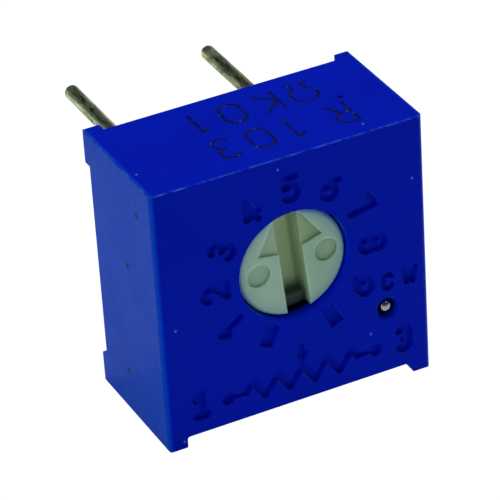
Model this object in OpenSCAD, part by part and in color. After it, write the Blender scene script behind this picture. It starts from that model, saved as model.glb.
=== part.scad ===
// Sealed single-turn trimmer potentiometer, standing on its two foot rails.
// The origin is where the rotor axis meets the adjustment face. X runs to the right along that face,
// +Y goes back through the body and out along the pins, and +Z is up. All sizes are in millimetres.
// Angles of the dial are measured clockwise from the top, as seen from the adjustment face.

/* [Body] */
// Width of the body
body_w = 9.53; // [9:0.01:12]
// Height of the body with its foot rails
body_h = 9.53; // [9.3:0.01:12]
// Depth from the adjustment face to the tips of the rear standoffs
body_d = 5; // [4.6:0.01:7]
// Height of the rotor axis above the middle of the body
axis_rise = 0.775; // [0.4:0.005:0.8]
// Thickness of the side walls
wall = 0.62; // [0.5:0.01:0.7]
// Thickness of the front wall ahead of the seal
face_t = 0.7; // [0.69:0.01:0.85]
// Width of the ledge that the ceramic plate seats on
ledge_w = 0.3; // [0.2:0.01:0.35]
// Radius of the corners of the room inside the body
room_r = 0.3; // [0.1:0.01:0.4]
// Radius of the two upright front edges
side_edge_r = 0.22; // [0.05:0.01:0.3]
// Radius of the body's other front edges
edge_r = 0.07; // [0.05:0.01:0.25]
// Radius of the feet, the standoffs and the body's rear edges
corner_r = 0.09; // [0.02:0.01:0.1]

/* [Feet and standoffs] */
// Height of the two foot rails
foot_h = 0.42; // [0.3:0.01:0.6]
// Width of a foot rail at its tip
foot_w = 0.64; // [0.4:0.01:1]
// How much wider the right foot rail is at its root
foot_flare = 0.24; // [0.05:0.01:0.5]
// Depth of the rear face behind the standoff tips
standoff_h = 0.41; // [0.2:0.01:0.6]
// Width of a rear standoff at its tip
standoff_w = 0.59; // [0.4:0.01:0.8]
// Length of a rear standoff along the side wall
standoff_l = 1.18; // [0.8:0.01:2]
// How much wider or longer a flared standoff is at its root
standoff_flare = 0.2; // [0.05:0.01:0.4]

/* [Rotor] */
// Diameter of the rotor head
head_d = 3.78; // [3.2:0.01:3.9]
// Radial gap between the rotor head and its hole
head_gap = 0.07; // [0.03:0.005:0.12]
// Depth of the rotor head's face behind the adjustment face
head_recess = 0.14; // [0.05:0.01:0.22]
// Radius of the rotor head's rim
rim_r = 0.15; // [0.04:0.01:0.2]
// Thickness of the rotor flange
flange_t = 0.5; // [0.4:0.01:0.7]
// How far the flange laps over the seal's seat
flange_lap = 0.12; // [0.05:0.01:0.2]
// Diameter of the boss that the wiper is staked on
boss_d = 0.9; // [0.6:0.01:1.1]
// Length of the boss behind the wiper's plate
boss_out = 0.25; // [0.1:0.01:0.4]
// Angle of the rotor at rest, from the middle of its travel
rest_turn = -5; // [-150:0.5:150]

/* [Driver slot and rotor marks] */
// Width of the screwdriver slot
slot_w = 0.85; // [0.5:0.01:1]
// Depth of the slot's middle part
slot_depth = 0.85; // [0.6:0.01:1]
// Depth of the slot where it runs out through the rim
slot_end_depth = 0.48; // [0.3:0.01:0.5]
// Half length of the slot's deep middle part
slot_reach = 1.5; // [1:0.01:1.7]
// Half width of the arrow's base
arrow_w = 1.15; // [0.8:0.01:1.4]
// Height of the ends of the arrow's base above the rotor axis
arrow_base = 0.65; // [0.5:0.01:0.8]
// How far the middle of the arrow's base dips
arrow_dip = 0.27; // [0.05:0.01:0.35]
// Height of the arrow's point above the rotor axis
arrow_tip = 2.5; // [1.5:0.01:2.6]
// Width of the plain rim outside the arrow
arrow_rim = 0.12; // [0.05:0.01:0.3]
// Depth of the arrow
arrow_depth = 0.1; // [0.05:0.01:0.2]
// Diameter of the two round marks beside the slot
dimple_d = 0.82; // [0.5:0.01:0.9]
// Distance of a round mark from the rotor axis
dimple_x = 1.2; // [1:0.01:1.3]
// Depth of the round marks
dimple_depth = 0.09; // [0.03:0.01:0.12]

/* [Travel and stops] */
// Mechanical travel between the end stops, in degrees
travel = 310; // [240:1:320]
// How far the rotor's stop lug stands out from the flange
lug_out = 0.46; // [0.3:0.01:0.5]
// Angular width of the stop lug, in degrees
lug_angle = 18; // [10:1:24]
// Free angle left at each end stop, in degrees
stop_free = 0.5; // [0.2:0.1:1.5]
// Radial width of the housing's stop block
stop_w = 0.8; // [0.6:0.01:1]

/* [Seal] */
// Thickness of the seal ring's cord
seal_cord = 0.44; // [0.35:0.01:0.5]
// Clearance between pieces that turn on each other
run_gap = 0.03; // [0.01:0.005:0.05]
// Clearance between pieces that are fixed to each other
bond_gap = 0.005; // [0.002:0.001:0.01]

/* [Wiper] */
// Thickness of the wiper's spring metal
spring_t = 0.1; // [0.06:0.01:0.15]
// Width of the wiper
wiper_w = 1.3; // [1.1:0.01:1.6]
// Distance from the flange to the ceramic plate
chamber = 0.8; // [0.7:0.01:1.2]
// Height above the rotor axis where the fingers bend away from the wiper's plate
wiper_root = 1; // [0.8:0.01:1.2]
// Distance below the rotor axis where the wiper folds back
wiper_fold = 1.95; // [1.7:0.01:2]
// Radius of the fold, along the middle of the metal
fold_r = 0.09; // [0.08:0.01:0.12]
// Length of the turned-up contact tips
toe_l = 0.15; // [0.08:0.01:0.18]
// Number of fingers on the track contact
fingers = 4; // [2:1:5]
// Gap between two fingers
finger_gap = 0.07; // [0.04:0.01:0.1]

/* [Ceramic plate and its prints] */
// Thickness of the ceramic plate
plate_t = 0.64; // [0.4:0.01:0.8]
// Clearance around the ceramic plate
plate_gap = 0.05; // [0.02:0.01:0.1]
// Thickness of the printed films
film_t = 0.05; // [0.03:0.01:0.08]
// Radius of the track's centre line
track_r = 2.05; // [1.9:0.01:2.1]
// Width of the track
track_w = 0.5; // [0.3:0.01:0.5]
// Angle that the track covers, in degrees
track_angle = 300; // [240:1:320]
// Angular width of the conductor at each end of the track, in degrees
end_angle = 8; // [4:1:12]
// Width of the conductors that lead to the pins
lead_w = 0.3; // [0.2:0.01:0.4]
// Distance between the track and the outer conductors
lead_gap = 0.25; // [0.2:0.01:0.35]
// Radius of the collector ring's centre line
collector_r = 0.95; // [0.9:0.01:1.05]
// Width of the collector ring
collector_w = 0.45; // [0.3:0.01:0.6]

/* [Pins] */
// Diameter of a pin
pin_d = 0.51; // [0.41:0.01:0.59]
// Diameter of a pin's shank in the ceramic plate
shank_d = 0.6; // [0.56:0.01:0.61]
// Spacing of the board's hole grid
pitch = 2.54; // [2.5:0.01:2.6]
// Length of a pin beyond the standoff tips
pin_out = 6.2; // [3:0.01:8]
// Radius of a pin's tip
tip_r = 0.2; // [0.05:0.01:0.2]
// Diameter of a pin's head
pin_head_d = 0.74; // [0.7:0.01:0.8]
// Thickness of a pin's head
pin_head_t = 0.18; // [0.12:0.01:0.25]
// Clearance around a pin's shank in the ceramic plate
pin_gap = 0.05; // [0.02:0.01:0.06]
// Diameter of a solder fillet
solder_d = 1.1; // [0.95:0.01:1.15]

/* [Vent and potting] */
// Distance of the vent hole from the body's right side
vent_side = 1.53; // [1.45:0.01:1.8]
// Height of the vent hole above the bottom of the feet
vent_up = 2.81; // [2.6:0.01:3.2]
// Diameter of the vent's countersink at the adjustment face
vent_d = 0.8; // [0.6:0.01:0.9]
// Radial room between the foot of the countersink and the ball
vent_gap = 0.03; // [0.02:0.01:0.05]
// Diameter of the vent bore
vent_bore_d = 0.3; // [0.2:0.01:0.4]
// Diameter of the ball that closes the vent
ball_d = 0.48; // [0.45:0.01:0.55]
// Depth of the ball's front behind the adjustment face
ball_recess = 0.02; // [0:0.01:0.1]
// Depth of the potting's surface below the rear face
potting_dip = 0.1; // [0.05:0.01:0.2]

/* [Moulded marks] */
// Depth of the marks in the adjustment face
mark_depth = 0.15; // [0.05:0.01:0.2]
// How many numbers the dial has
dial_count = 9; // [5:1:9]
// Width of the strokes of the dial numbers
dial_stroke = 0.25; // [0.15:0.01:0.28]
// Height of the dial numbers
dial_h = 1.08; // [0.7:0.01:1.1]
// Radius of the ring of dial numbers
dial_r = 2.8; // [2.7:0.01:2.9]
// Length of an end mark
end_mark_l = 0.8; // [0.5:0.01:0.9]
// Width of an end mark
end_mark_w = 0.5; // [0.3:0.01:0.6]
// How far the end marks stand to the right of their places around the rotor axis
end_mark_x = 0.12; // [0:0.01:0.15]
// How far the end marks stand above their places around the rotor axis
end_mark_rise = 0.1; // [0:0.01:0.15]
// Radius at which the end marks are centred
end_mark_r = 2.69; // [2.6:0.01:2.8]
// Height of the terminal numbers
terminal_h = 1.1; // [0.7:0.01:1.15]
// Width of the strokes of the terminal numbers
terminal_stroke = 0.3; // [0.15:0.01:0.3]
// Distance of the left terminal number's middle from the body's side
terminal_left = 1.18; // [1.1:0.01:1.3]
// Distance of the right terminal number's middle from the body's side
terminal_right = 0.98; // [0.9:0.01:1.1]
// Height of the middle of the terminal numbers above the bottom of the feet
terminal_up = 1.46; // [1.4:0.01:1.5]
// Height of the middle of the resistor symbol above the bottom of the feet
zigzag_up = 1.36; // [1.2:0.01:1.45]
// How far the middle of the resistor symbol stands to the right of the rotor axis
zigzag_x = 0.07; // [0:0.01:0.1]
// Pitch of the resistor symbol's zigzag
zigzag_pitch = 0.9; // [0.7:0.01:0.95]
// Number of peaks on each side of the zigzag's middle one
zigzag_side = 4; // [2:2:4]
// Height of the resistor symbol's zigzag
zigzag_h = 0.9; // [0.5:0.01:0.95]
// Width of the zigzag's strokes
zigzag_stroke = 0.25; // [0.12:0.01:0.28]
// Width of the leads to the dots
lead_stroke = 0.15; // [0.1:0.01:0.2]
// Distance from the middle of the resistor symbol to the dots at its ends
dot_x = 2.67; // [2.5:0.01:2.8]
// Diameter of the dots
dot_d = 0.46; // [0.25:0.01:0.5]
// Length of the head of the resistor symbol's arrow
tap_head_l = 0.38; // [0.2:0.01:0.4]
// Width of the head of the resistor symbol's arrow
tap_head_w = 0.56; // [0.3:0.01:0.6]
// Length of the resistor symbol's arrow
tap_l = 0.62; // [0.4:0.01:0.7]
// Height of the letters that show the turning direction
turn_h = 0.72; // [0.5:0.01:0.75]
// Width of the strokes of those letters
turn_stroke = 0.19; // [0.1:0.01:0.2]
// Distance between the middles of those letters
turn_pitch = 0.8; // [0.7:0.01:0.8]
// How far the first of them stands to the right of the vent
turn_x = 0.05; // [0:0.01:0.1]
// How far the middle of those letters stands above the middle of the vent
turn_up = 1; // [0.95:0.01:1.1]

/* [Hidden] */
$fn = 96;
eps = 0.01;                                  // overlap of a cut with the face it opens
arc_steps = 6;                               // straight pieces in half a turn of a stroke
corner_steps = 6;                            // straight pieces in a rounded corner
sector_step = 5;                             // degrees between the points of a curved print
rim_step = 15;                               // degrees between the points of a rounded rim

// Edges of the body, seen from the front
right = body_w / 2;
left = -right;
base = -body_h / 2 - axis_rise;
top = base + body_h;

// Rotor and seal, outwards from the axis
head_r = head_d / 2;
hole_r = head_r + head_gap;
seat_r = head_r + bond_gap + seal_cord + run_gap;
flange_r = seat_r + flange_lap;
lug_r = flange_r + lug_out;
stop_r = flange_r + 2 * run_gap;

// The stack of pieces, backwards from the adjustment face
front_t = face_t + seal_cord + 2 * run_gap;
flange_y = front_t + run_gap;
plate_y = flange_y + flange_t + chamber;
film_y = plate_y - film_t;
rear_y = body_d - standoff_h;
potting_y = plate_y + plate_t;
potting_back = rear_y - potting_dip;

// Terminal pins, as [x, z]: pins 1 and 3 above the middle of the body, pin 2 below it
PIN_1 = [-pitch, pitch - axis_rise];
PIN_2 = [0, -pitch - axis_rise];
PIN_3 = [pitch, pitch - axis_rise];
PINS = [PIN_1, PIN_2, PIN_3];
pin_r = pin_d / 2;
shank_r = shank_d / 2;

// Vent and its ball
VENT = [right - vent_side, base + vent_up];
ball_r = ball_d / 2;
ball_y = ball_recess + ball_r;

// ---- Outlines -------------------------------------------------------------------------------

function unit(v) = v / norm(v);
function normal(v) = [-v.y, v.x] / norm(v);
function polar(r, a) = r * [sin(a), cos(a)];      // a clockwise from the top
function arc(centre, r, from, to) =
    let (steps = max(2, ceil(arc_steps * abs(to - from) / 180)))
    [for (i = [0:steps]) let (a = from + (to - from) * i / steps) centre + r * [cos(a), sin(a)]];

// Rounds one corner of an outline, whether it points out or in
function softened(before, corner, after, r) =
    let (a = unit(before - corner), b = unit(after - corner), half = acos(a * b) / 2,
        centre = corner + unit(a + b) * r / sin(half), reach = r / tan(half),
        u = corner + a * reach - centre, v = corner + b * reach - centre,
        turn = 180 - 2 * half)
    [for (i = [0:corner_steps]) let (t = i / corner_steps)
        centre + (u * sin(turn * (1 - t)) + v * sin(turn * t)) / sin(turn)];
function soften(points, radii) =
    let (n = len(points))
    [for (i = [0:n - 1])
        each softened(points[(i + n - 1) % n], points[i], points[(i + 1) % n], radii[i])];

// Part of a ring between two angles of the dial
function sector(inner, outer, from, to) =
    let (steps = ceil((to - from) / sector_step))
    [for (i = [0:steps]) polar(outer, from + (to - from) * i / steps),
        for (i = [steps:-1:0]) polar(inner, from + (to - from) * i / steps)];

// A line of constant width with round ends, drawn along a smooth path
function path_normal(path, i) =
    i == 0 ? normal(path[1] - path[0])
    : i == len(path) - 1 ? normal(path[i] - path[i - 1])
    : let (a = normal(path[i] - path[i - 1]), b = normal(path[i + 1] - path[i]), m = unit(a + b))
        m / (m * a);
function ribbon(path, width) =
    let (r = width / 2, last = len(path) - 1, n0 = path_normal(path, 0),
        n1 = path_normal(path, last), a0 = atan2(n0.y, n0.x), a1 = atan2(n1.y, n1.x))
    concat([for (i = [1:last - 1]) path[i] + r * path_normal(path, i)],
        arc(path[last], r, a1, a1 - 180),
        [for (i = [last - 1:-1:1]) path[i] - r * path_normal(path, i)],
        arc(path[0], r, a0 + 180, a0));

// The numbers and letters, in a cell one unit high about its middle: name, open strokes, round loops
SIX_TAIL = arc([0.36, -0.22], 0.64, 180, 108);
GLYPHS = [
    ["1", [[[0.06, 0.5], [0.06, -0.5]], [[0.06, 0.5], [-0.17, 0.28]]], []],
    ["2", [concat(arc([0, 0.22], 0.28, 165, -35), [[-0.28, -0.5]]), [[-0.28, -0.5], [0.28, -0.5]]], []],
    ["3", [arc([0, 0.25], 0.25, 145, -90), arc([0, -0.24], 0.26, 90, -145)], []],
    ["4", [[[0.12, 0.5], [0.12, -0.5]], [[0.12, 0.5], [-0.28, -0.2]], [[-0.28, -0.2], [0.3, -0.2]]], []],
    ["5", [[[0.24, 0.5], [-0.2, 0.5]], [[-0.2, 0.5], [-0.22, 0.04]], arc([0, -0.19], 0.31, 132, -140)],
        []],
    ["6", [SIX_TAIL], [[[0, -0.22], 0.28]]],
    ["7", [[[-0.26, 0.5], [0.26, 0.5]], [[0.26, 0.5], [-0.08, -0.5]]], []],
    ["8", [], [[[0, 0.25], 0.25], [[0, -0.23], 0.27]]],
    ["9", [-SIX_TAIL], [[[0, 0.22], 0.28]]],
    ["C", [concat(arc([0, 0.22], 0.28, 20, 180), arc([0, -0.22], 0.28, 180, 340))], []],
    ["W", [[[-0.42, 0.5], [-0.21, -0.5]], [[-0.21, -0.5], [0, 0.3]], [[0, 0.3], [0.21, -0.5]],
        [[0.21, -0.5], [0.42, 0.5]]], []],
    ["foot", [[[-0.17, -0.5], [0.29, -0.5]]], []]
];
function shape_of(name) = GLYPHS[search([name], GLYPHS)[0]];

// ---- Helpers --------------------------------------------------------------------------------

// Stands an outline drawn as seen from the front at depth y and extrudes it backwards
module from_front(y, depth) {
    translate([0, y + depth, 0])
        rotate([90, 0, 0])
            linear_extrude(depth)
                children();
}

// A round bar along Y with its middle at [x, z]
module bar(at, y, depth, r) {
    translate([at.x, y, at.y])
        rotate([-90, 0, 0])
            cylinder(h = depth, r = r);
}

// Turns a profile of [radius, depth] points about a Y axis through [x, z]
module turned(at = [0, 0]) {
    translate([at.x, 0, at.y])
        rotate([-90, 0, 0])
            rotate_extrude()
                children();
}

// A round loop of constant width
module ring(r, width) {
    difference() {
        circle(r = r + width / 2);
        circle(r = r - width / 2);
    }
}

// One number or letter of a given overall height
module glyph(name, height, stroke) {
    cell = height - stroke;
    for (path = shape_of(name)[1])
        polygon(ribbon(path * cell, stroke));
    for (loop = shape_of(name)[2])
        translate(loop[0] * cell)
            ring(loop[1] * cell, stroke);
}

// ---- Housing --------------------------------------------------------------------------------

module front_outline() {
    points = [[left, base], [left + foot_w, base], [left + foot_w, base + foot_h],
        [right - foot_w - foot_flare, base + foot_h], [right - foot_w, base], [right, base],
        [right, top], [left, top]];
    polygon(soften(points, [edge_r, corner_r, corner_r, corner_r, corner_r, edge_r, edge_r, edge_r]));
}

// The body before it is hollowed, its edges rounded along all three directions
module blank() {
    side_radii = [edge_r, corner_r, corner_r, edge_r];
    intersection() {
        from_front(0, body_d)
            front_outline();
        rotate([90, 0, 90])
            linear_extrude(body_w, center = true)
                polygon(soften([[0, base], [body_d, base], [body_d, top], [0, top]], side_radii));
        translate([0, 0, base])
            linear_extrude(body_h)
                polygon(soften([[left, 0], [left, body_d], [right, body_d], [right, 0]],
                    [side_edge_r, corner_r, corner_r, side_edge_r]));
    }
}

// Everything behind the rear face but the four corner standoffs
module standoff_cuts() {
    beyond = body_d + eps;
    // Between the left and the right standoffs; the right pair flares towards its root
    translate([0, 0, base - eps])
        linear_extrude(body_h + 2 * eps)
            polygon([[left + standoff_w, rear_y], [right - standoff_w - standoff_flare / 2, rear_y],
                [right - standoff_w + standoff_flare / 2, beyond], [left + standoff_w, beyond]]);
    // Between the upper and the lower standoffs; the lower pair flares towards its root
    low = base + standoff_l;
    rotate([90, 0, 90])
        linear_extrude(body_w + 2 * eps, center = true)
            polygon([[rear_y, low + standoff_flare], [beyond, low - standoff_flare / 2],
                [beyond, top - standoff_l], [rear_y, top - standoff_l]]);
}

// The outline of the square room inside the side walls, made smaller all round by inset
module room_outline(inset) {
    side = wall + inset;
    low = base + foot_h + side;
    polygon(soften([[left + side, low], [right - side, low], [right - side, top - side],
        [left + side, top - side]], [room_r, room_r, room_r, room_r]));
}

// The resistor symbol between the terminal numbers
module zigzag_mark() {
    middle = base + zigzag_up;
    half = (zigzag_h - zigzag_stroke) / 2;
    lead_x = (zigzag_side + 0.5) * zigzag_pitch / 2;
    peaks = [for (i = [-zigzag_side:zigzag_side]) [i * zigzag_pitch / 2, i % 2 == 0 ? half : -half]];
    path = concat([[-lead_x, 0]], peaks, [[lead_x, 0]]);
    translate([zigzag_x, middle]) {
        for (i = [0:len(path) - 2])
            polygon(ribbon([path[i], path[i + 1]], zigzag_stroke));
        for (side = [-1, 1]) {
            polygon(ribbon([[side * lead_x, 0], [side * dot_x, 0]], lead_stroke));
            translate([side * dot_x, 0])
                circle(d = dot_d, $fn = 24);
        }
        // The wiper's arrow, down onto the middle peak
        tip = zigzag_h / 2;
        polygon(ribbon([[0, tip + tap_l], [0, tip]], zigzag_stroke));
        polygon([[-tap_head_w / 2, tip + tap_head_l], [tap_head_w / 2, tip + tap_head_l], [0, tip]]);
    }
}

// The marks moulded into the adjustment face: a plain dial, its end marks and the terminals
module marks() {
    step = travel / (dial_count + 1);
    for (n = [1:dial_count])
        rotate(travel / 2 - n * step)
            translate([0, dial_r])
                glyph(str(n), dial_h, dial_stroke);
    translate([end_mark_x, end_mark_rise])
        for (side = [-1, 1])
            rotate(side * travel / 2)
                translate([-end_mark_w / 2, end_mark_r - end_mark_l / 2])
                    square([end_mark_w, end_mark_l]);
    translate([left + terminal_left, base + terminal_up]) {
        glyph("1", terminal_h, terminal_stroke);
        glyph("foot", terminal_h, terminal_stroke);
    }
    translate([right - terminal_right, base + terminal_up])
        glyph("3", terminal_h, terminal_stroke);
    translate([VENT.x + turn_x, VENT.y + turn_up]) {
        glyph("C", turn_h, turn_stroke);
        translate([turn_pitch, 0])
            glyph("W", turn_h, turn_stroke);
    }
    zigzag_mark();
}

// The block that the rotor's lug meets at both ends of its travel
module stop_block() {
    half = 180 - travel / 2 - lug_angle / 2 - stop_free;
    from_front(front_t - eps, flange_y + flange_t - front_t + eps)
        polygon(sector(stop_r, stop_r + stop_w, 180 - half, 180 + half));
}

module housing() color([0, 0.09, 0.6]) {
    difference() {
        blank();
        standoff_cuts();
        from_front(front_t, body_d)
            room_outline(ledge_w);
        from_front(plate_y, body_d)
            room_outline(0);
        // The ledge keeps clear of the soldered pins
        for (at = PINS)
            bar(at, front_t, body_d, solder_d / 2 + pin_gap);
        bar([0, 0], -eps, body_d, hole_r);
        bar([0, 0], face_t, body_d, seat_r);
        // The countersink narrows to just more than the ball, whose front half stands free in it
        turned(VENT)
            polygon([[0, -eps], [vent_d / 2, -eps], [vent_d / 2, 0], [ball_r + vent_gap, ball_y],
                [0, ball_y]]);
        bar(VENT, 0, body_d, vent_bore_d / 2);
        translate([VENT.x, ball_y, VENT.y])
            sphere(r = ball_r + bond_gap);
        from_front(-eps, mark_depth + eps)
            marks();
    }
    stop_block();
}

module vent_ball() color("silver")
    translate([VENT.x, ball_y, VENT.y])
        sphere(r = ball_r);

// ---- Rotor and what turns with it -----------------------------------------------------------

// The rotor's own marks and slot are drawn with the arrow at the top, then turned to rest
module at_rest() {
    rotate([0, rest_turn, 0])
        children();
}

module rotor_profile() {
    back = flange_y + flange_t;
    rim = [for (a = [90:-rim_step:0])
        [head_r - rim_r + rim_r * cos(a), head_recess + rim_r - rim_r * sin(a)]];
    polygon(concat([[0, head_recess]], rim, [[head_r, flange_y], [flange_r, flange_y], [flange_r, back],
        [boss_d / 2, back], [boss_d / 2, back + spring_t + boss_out], [0, back + spring_t + boss_out]]));
}

module arrow_mark() {
    intersection() {
        polygon([[-arrow_w, arrow_base], [0, arrow_base - arrow_dip], [arrow_w, arrow_base],
            [0, arrow_tip]]);
        circle(r = head_r - arrow_rim);
    }
}

module rotor() color([0.56, 0.62, 0.52]) at_rest() {
    cut_y = head_recess - eps;
    difference() {
        union() {
            turned() rotor_profile();
            from_front(flange_y, flange_t)
                polygon(sector(flange_r - lug_out, lug_r, -lug_angle / 2, lug_angle / 2));
        }
        translate([-slot_w / 2, cut_y, -lug_r])
            cube([slot_w, slot_end_depth + eps, 2 * lug_r]);
        translate([-slot_w / 2, cut_y, -slot_reach])
            cube([slot_w, slot_depth + eps, 2 * slot_reach]);
        from_front(cut_y, arrow_depth + eps)
            arrow_mark();
        for (side = [-1, 1])
            bar([side * dimple_x, 0], cut_y, dimple_depth + eps, dimple_d / 2);
    }
}

module rotor_seal() color([0.05, 0.05, 0.055])
    turned()
        translate([head_r + bond_gap + seal_cord / 2, face_t + run_gap + seal_cord / 2])
            circle(d = seal_cord, $fn = 48);

// A strip of spring metal bent along the points of a side view, each [depth, height]
module spring_strip(x, width, points) {
    translate([x, 0, 0])
        rotate([90, 0, 90])
            linear_extrude(width)
                polygon(ribbon(points, spring_t));
}

module wiper() color("gold") at_rest() {
    plate = flange_y + flange_t + bond_gap + spring_t / 2;
    touch = film_y - run_gap - spring_t / 2;
    finger_w = (wiper_w - (fingers - 1) * finger_gap) / fingers;
    tongue_w = wiper_w / 2;
    // The plate, staked over the rotor's boss
    difference() {
        spring_strip(-wiper_w / 2, wiper_w, [[plate, -wiper_fold], [plate, wiper_root]]);
        bar([0, 0], flange_y, body_d, boss_d / 2 + bond_gap);
    }
    // The fingers that run on the track
    for (i = [0:fingers - 1])
        spring_strip(-wiper_w / 2 + i * (finger_w + finger_gap), finger_w,
            [[plate, wiper_root - toe_l], [plate, wiper_root], [touch, track_r],
                [touch - spring_t, track_r + toe_l]]);
    // The tongue that folds back onto the collector
    spring_strip(-tongue_w / 2, tongue_w,
        concat([[plate, -wiper_fold + toe_l]], arc([plate + fold_r, -wiper_fold], fold_r, 180, 360),
            [[touch, -collector_r], [touch - spring_t, -collector_r + toe_l]]));
}

// ---- Ceramic plate, prints, pins and potting ------------------------------------------------

module substrate() color([0.93, 0.92, 0.88])
    difference() {
        from_front(plate_y, plate_t)
            room_outline(plate_gap);
        for (at = PINS)
            bar(at, plate_y - eps, plate_t + 2 * eps, shank_r + pin_gap);
    }

module resistive_track() color([0.12, 0.12, 0.13])
    from_front(film_y, film_t)
        polygon(sector(track_r - track_w / 2, track_r + track_w / 2, -track_angle / 2,
            track_angle / 2));

// The printed lead from an end of the track round to a pin; side is -1 on the left, 1 on the right
module end_conductor(side, at) {
    track_end = track_angle / 2;
    inner = track_r + track_w / 2 + lead_gap;
    pin_angle = atan2(pitch, at.y);
    color([0.8, 0.8, 0.78])
        mirror([side < 0 ? 1 : 0, 0, 0])
            difference() {
                union() {
                    from_front(film_y, film_t)
                        polygon(sector(track_r - track_w / 2, inner + lead_w / 2, track_end,
                            track_end + end_angle));
                    from_front(film_y, film_t)
                        polygon(sector(inner, inner + lead_w, pin_angle, track_end + end_angle));
                    bar([pitch, at.y], film_y, film_t, solder_d / 2);
                }
                bar([pitch, at.y], film_y - eps, film_t + 2 * eps, shank_r + pin_gap);
            }
}

module end_conductor_1() end_conductor(-1, PIN_1);
module end_conductor_3() end_conductor(1, PIN_3);

module collector() color([0.8, 0.8, 0.78])
    from_front(film_y, film_t)
        difference() {
            union() {
                ring(collector_r, collector_w);
                translate([-collector_w / 2, PIN_2.y])
                    square([collector_w, -PIN_2.y - collector_r]);
                translate(PIN_2)
                    circle(d = solder_d);
            }
            translate(PIN_2)
                circle(r = shank_r + pin_gap);
        }

// A pin with its head on the printed side of the plate; its thicker shank tapers in the potting
module pin(at) {
    end = body_d + pin_out;
    tip = [for (a = [0:rim_step:90])
        [pin_r - tip_r + tip_r * cos(a), end - tip_r + tip_r * sin(a)]];
    color([0.62, 0.62, 0.56])
        turned(at)
            polygon(concat([[0, film_y - pin_head_t], [pin_head_d / 2, film_y - pin_head_t],
                [pin_head_d / 2, film_y], [shank_r, film_y], [shank_r, potting_y],
                [pin_r, potting_back]], tip, [[0, end]]));
}

module pin_1() pin(PIN_1);
module pin_2() pin(PIN_2);
module pin_3() pin(PIN_3);

module solder(at) color([0.72, 0.73, 0.74])
    turned(at)
        polygon([[pin_head_d / 2 + bond_gap, film_y - pin_head_t], [solder_d / 2, film_y],
            [pin_head_d / 2 + bond_gap, film_y]]);

module solder_1() solder(PIN_1);
module solder_2() solder(PIN_2);
module solder_3() solder(PIN_3);

module back_potting() color([0.5, 0.38, 0.22])
    difference() {
        from_front(potting_y, potting_back - potting_y)
            room_outline(bond_gap);
        for (at = PINS)
            turned(at)
                polygon([[0, film_y], [shank_r + bond_gap, film_y], [shank_r + bond_gap, potting_y],
                    [pin_r + bond_gap, potting_back], [pin_r + bond_gap, body_d], [0, body_d]]);
    }

housing();
rotor();
rotor_seal();
wiper();
substrate();
resistive_track();
end_conductor_1();
end_conductor_3();
collector();
pin_1();
pin_2();
pin_3();
solder_1();
solder_2();
solder_3();
back_potting();
vent_ball();
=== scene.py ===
"""Models and finishes a sealed single-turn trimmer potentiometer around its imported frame."""

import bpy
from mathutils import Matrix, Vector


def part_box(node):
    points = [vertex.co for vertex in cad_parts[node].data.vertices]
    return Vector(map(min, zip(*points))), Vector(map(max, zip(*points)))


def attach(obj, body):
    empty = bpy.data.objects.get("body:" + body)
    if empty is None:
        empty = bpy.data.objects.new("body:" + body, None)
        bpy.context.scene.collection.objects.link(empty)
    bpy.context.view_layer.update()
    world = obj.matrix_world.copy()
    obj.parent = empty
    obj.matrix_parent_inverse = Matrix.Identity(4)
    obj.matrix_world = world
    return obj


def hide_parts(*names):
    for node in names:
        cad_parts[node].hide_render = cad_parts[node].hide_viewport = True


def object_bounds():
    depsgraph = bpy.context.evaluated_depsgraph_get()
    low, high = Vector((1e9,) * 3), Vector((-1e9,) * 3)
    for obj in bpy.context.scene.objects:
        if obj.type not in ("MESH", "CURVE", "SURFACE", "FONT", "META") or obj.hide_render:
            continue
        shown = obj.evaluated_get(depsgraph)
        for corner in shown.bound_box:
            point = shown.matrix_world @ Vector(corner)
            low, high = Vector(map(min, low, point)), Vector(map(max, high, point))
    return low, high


bl_info = {
    "name": "Trimmer potentiometer",
    "version": (1, 0, 0),
    "blender": (4, 5, 0),
    "location": "View3D > Sidebar > Trimmer",
    "description": "Models and finishes the case, rotor, pins and potting of a sealed trimmer",
    "category": "Object",
}

import math

import bmesh
import bpy
from bpy.props import FloatProperty, FloatVectorProperty, IntProperty, PointerProperty
from mathutils import Matrix, Vector

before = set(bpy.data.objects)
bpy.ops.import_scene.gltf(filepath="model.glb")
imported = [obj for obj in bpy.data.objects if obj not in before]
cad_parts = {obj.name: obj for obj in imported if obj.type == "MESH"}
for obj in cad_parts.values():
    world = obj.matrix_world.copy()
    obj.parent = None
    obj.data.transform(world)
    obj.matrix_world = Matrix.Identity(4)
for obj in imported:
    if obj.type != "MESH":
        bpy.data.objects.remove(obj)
CAD_BOX = [list(corner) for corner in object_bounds()]

MM = 0.001  # pieces are modelled in millimetres and scaled to metres when they are finished
CASE_BODY = "case"
TURNING_BODY = "turning_group"
NEAR = 0.002  # how close, in millimetres, counts as lying on a plane

# Sizes of the solids that the details follow, in millimetres
MARK_DEPTH = 0.15
FOOT_HEIGHT = 0.42
HOLE_SEARCH = 2.2  # the rotor hole's rim lies inside this radius, and the marks outside it
VENT_SEARCH = 0.45  # the vent's rim lies inside this radius
SLOT_SEARCH = 0.3  # the slot's foot lies deeper than this
WIRE_RADIUS = 0.255
SHANK_RADIUS = 0.3
TIP_RADIUS = 0.2
PIN_HEAD = 0.18
PIN_HEAD_EDGE = 0.03
PIN_NUMBERS = (1, 2, 3)
RESIN_CORNER = 0.3


# ---- Sizes and colours that a user would change ------------------------------------------------


def length(name, description, millimetres):
    return FloatProperty(
        name=name,
        description=description,
        default=millimetres * MM,
        min=0.0,
        precision=6,
        unit="LENGTH",
    )


def colour(name, description, red, green, blue):
    return FloatVectorProperty(
        name=name,
        description=description,
        default=(red, green, blue),
        size=3,
        min=0.0,
        max=1.0,
        subtype="COLOR",
    )


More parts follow.
